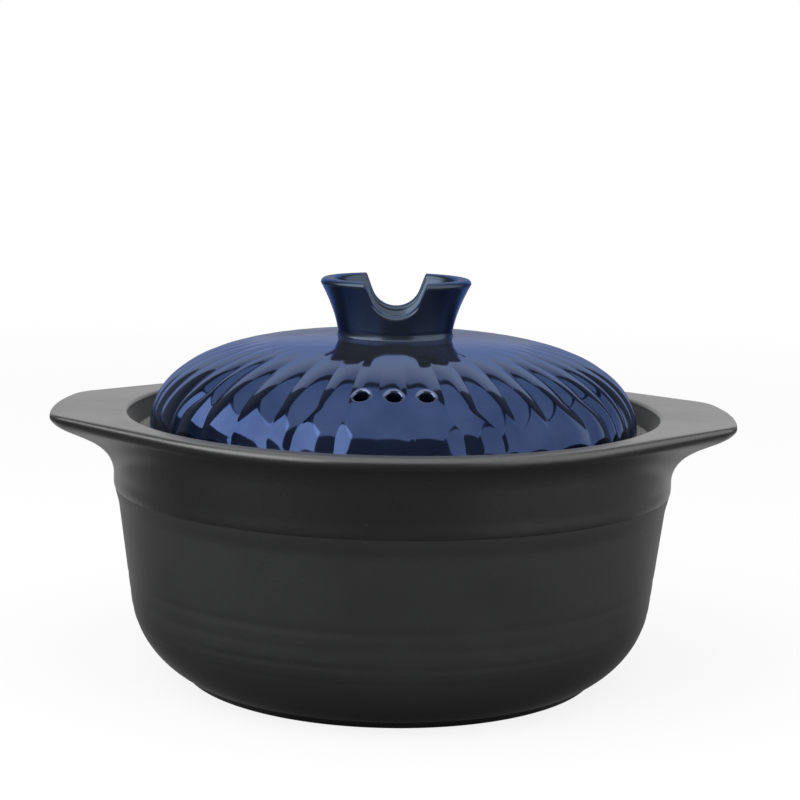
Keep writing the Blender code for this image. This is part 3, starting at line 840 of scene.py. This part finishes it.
def blue_glaze(name, shades, slanted_shade, metal, rough, paint_hole_highlights=False):
    """Deep blue glaze that tints what it mirrors, also at low angles, so it is mostly shaded as a metal."""
    m = Finish(name)
    colour = m.blend(m.remap(m.noise(45.0, 4.0), 0.35, 0.65, 0.0, 1.0), *shades)
    # Painted highlight: the steam holes' rims get a lighter blue, strongest on their upper side.
    if paint_hole_highlights:
        colour = m.blend(painted_hole_highlight(m), colour, HOLE_RIM_HIGHLIGHT_BLUE)
    facing = m.add("ShaderNodeLayerWeight").outputs["Facing"]
    rising = m.remap(facing, 0.36, 0.82, 0.0, 1.0)
    slanted = m.product(rising, m.remap(facing, 0.83, 0.91, 1.0, 0.0))
    m.set(Base_Color=m.blend(slanted, colour, slanted_shade))
    metallic = m.remap(facing, 0.22, 0.38, metal, 0.955)
    m.set(Metallic=m.product(metallic, m.remap(facing, 0.84, 0.94, 1.0, 0.40)))
    m.set(Specular_IOR_Level=0.0, Specular_Tint=EDGE_TINT)
    m.set(Roughness=m.remap(m.noise(60.0, 3.0), 0.3, 0.7, rough, rough + 0.05))
    m.bump(m.combine("ADD", m.noise(45.0, 2.0), m.product(m.noise(300.0, 2.0), 0.06)), 0.12, 0.0012)
    return m.material


def panel(name, centre, facing, size, radiance, roll=0.0):
    """A softbox of even brightness that only lamps and reflections show, rolled by some degrees."""
    lamp = bpy.data.lights.new(name, "AREA")
    lamp.shape = "RECTANGLE"
    lamp.size, lamp.size_y = size
    lamp.energy = radiance * math.pi * size[0] * size[1]
    item = add_object(name, lamp)
    item.location = centre
    item.rotation_mode = "QUATERNION"
    upright = Vector(facing).to_track_quat("-Z", "Y")
    item.rotation_quaternion = upright @ Quaternion((0, 0, 1), math.radians(roll))
    item.visible_camera = False


def make_lights():
    """Softboxes above, at the left and at the right, whose mirror images are the lid's light shapes."""
    panel("overhead", (0.0, -0.505, 1.13), (0, 0, -1), (1.6, 1.83), 1.2)
    panel("left_panel", (-0.84, -0.40, 0.770), (0.934, 0.358, 0.0), (1.46, 0.86), 2.8, -6.5)
    panel("right_panel", (0.879, -0.279, 0.615), (-0.99, 0.14, 0.0), (1.56, 1.07), 1.1)


def make_dark_room():
    """A dark room that only reflections show, open behind the pot to the white surround."""
    vertices = []
    faces = []
    for row in range(ROOM_ROWS + 1):
        rise = mix(ROOM_FOOT, math.pi / 2, row / ROOM_ROWS)
        for t in steps(ROOM_TURNS)[:-1]:
            height = ROOM_MIDDLE + ROOM_RADIUS * math.sin(rise)
            vertices.append(spin(ROOM_RADIUS * math.cos(rise), height, 2 * math.pi * t))
    for row in range(ROOM_ROWS):
        rise = mix(ROOM_FOOT, math.pi / 2, (row + 0.5) / ROOM_ROWS)
        for column in range(ROOM_TURNS):
            azimuth = 2 * math.pi * (column + 0.5) / ROOM_TURNS
            from_back = abs((azimuth - math.pi / 2 + math.pi) % (2 * math.pi) - math.pi)
            if rise < BACKDROP_TOP and from_back < BACKDROP_HALF_WIDTH:
                continue
            beside = (column + 1) % ROOM_TURNS
            low = row * ROOM_TURNS
            high = low + ROOM_TURNS
            faces.append((low + column, low + beside, high + beside, high + column))
    mesh = bpy.data.meshes.new("dark_room")
    mesh.from_pydata(vertices, [], faces)
    m = Finish("dark_room")
    glow = m.add("ShaderNodeEmission")
    m.plug(glow.inputs["Color"], (ROOM_GREY, ROOM_GREY, ROOM_GREY, 1.0))
    m.plug(m.surface, glow.outputs["Emission"])
    mesh.materials.append(m.material)
    room = add_object("dark_room", mesh)
    room.visible_camera = False
    room.visible_diffuse = False
    room.visible_shadow = False
    room.visible_transmission = False


def make_floor():
    """A pale round floor, white to the camera and behind the pot, which keeps a soft shadow of the pot.

    What the pot mirrors of it carries painted shade: darker in front and far to the sides than close beside
    the pot.
    """
    mesh = bpy.data.meshes.new("floor")
    rim = [spin(FLOOR_RADIUS, 0.0, 2 * math.pi * t) for t in steps(FLOOR_SIDES)[:-1]]
    mesh.from_pydata(rim, [], [tuple(range(FLOOR_SIDES))])
    floor = add_object("floor", mesh)
    m = Finish("floor")
    path = m.add("ShaderNodeLightPath").outputs
    aside = m.product(m.x, m.x)
    plain = m.remap(path["Is Camera Ray"], 0.0, 1.0, 0.40, 0.85)
    # Painted shade for reflections: glossy rays see the floor darker in front and far to the sides.
    lit = m.product(m.remap(m.y, -0.05, 0.18, 0.0, 1.0), m.remap(aside, 0.12, 0.24, 1.0, 0.0))
    mirrored_floor_shade = m.product(path["Is Glossy Ray"], m.remap(lit, 0.0, 1.0, 0.31, -0.10))
    m.set(Base_Color=m.combine("SUBTRACT", plain, mirrored_floor_shade), Roughness=0.9, Specular_IOR_Level=0.0)
    seen = m.combine("MAXIMUM", path["Is Camera Ray"], path["Is Transmission Ray"])
    seen = m.product(seen, m.remap(m.length(m.place), 0.4, 1.6, 0.85, 1.0))
    behind = m.product(m.remap(aside, 0.08, 0.25, 1.0, 0.0), m.remap(m.y, 0.08, 0.6, 0.0, 1.0))
    white = m.add("ShaderNodeEmission").outputs["Emission"]
    joined = m.add("ShaderNodeMixShader")
    m.plug(joined.inputs["Fac"], m.combine("MAXIMUM", seen, m.product(path["Is Glossy Ray"], behind)))
    m.plug(joined.inputs[1], m.shader.outputs["BSDF"])
    m.plug(joined.inputs[2], white)
    m.plug(m.surface, joined.outputs["Shader"])
    mesh.materials.append(m.material)


def make_world():
    """A white surround for the camera and for reflections, at a plain level for the light it gives."""
    world = bpy.data.worlds.new("studio")
    bpy.context.scene.world = world
    m = Nodes(world)
    path = m.add("ShaderNodeLightPath").outputs
    shown = m.combine("MAXIMUM", path["Is Camera Ray"], path["Is Glossy Ray"], path["Is Transmission Ray"])
    surround = m.tree.nodes["Background"].inputs
    m.plug(surround["Strength"], m.remap(shown, 0.0, 1.0, SURROUND_LIGHT, 1.0))
    m.plug(surround["Color"], (1.0, 1.0, 1.0, 1.0))


def make_camera():
    """The camera that was fitted to the photograph."""
    data = bpy.data.cameras.new("camera")
    data.sensor_width = SENSOR_WIDTH
    data.lens = FOCAL_PIXELS / FRAME_PIXELS * SENSOR_WIDTH
    data.clip_start = 0.05
    data.clip_end = 30.0
    camera = add_object("camera", data)
    camera.location = CAMERA_PLACE
    look = Matrix.Rotation(CAMERA_TURN, 4, "Z") @ Matrix.Rotation(math.pi / 2 - CAMERA_DIP, 4, "X")
    camera.rotation_euler = (look @ Matrix.Rotation(CAMERA_ROLL, 4, "Z")).to_euler()
    bpy.context.scene.camera = camera


make_pot(dark_ceramic())
make_lid(blue_glaze("lid_glaze", LID_BLUE, LID_SLANTED, 0.88, 0.06, paint_hole_highlights=True))
make_knob(blue_glaze("knob_glaze_finish", KNOB_BLUE, KNOB_SLANTED, 0.80, 0.24))
make_floor()
make_world()
make_lights()
make_dark_room()
make_camera()
bpy.context.scene.view_settings.view_transform = "Standard"
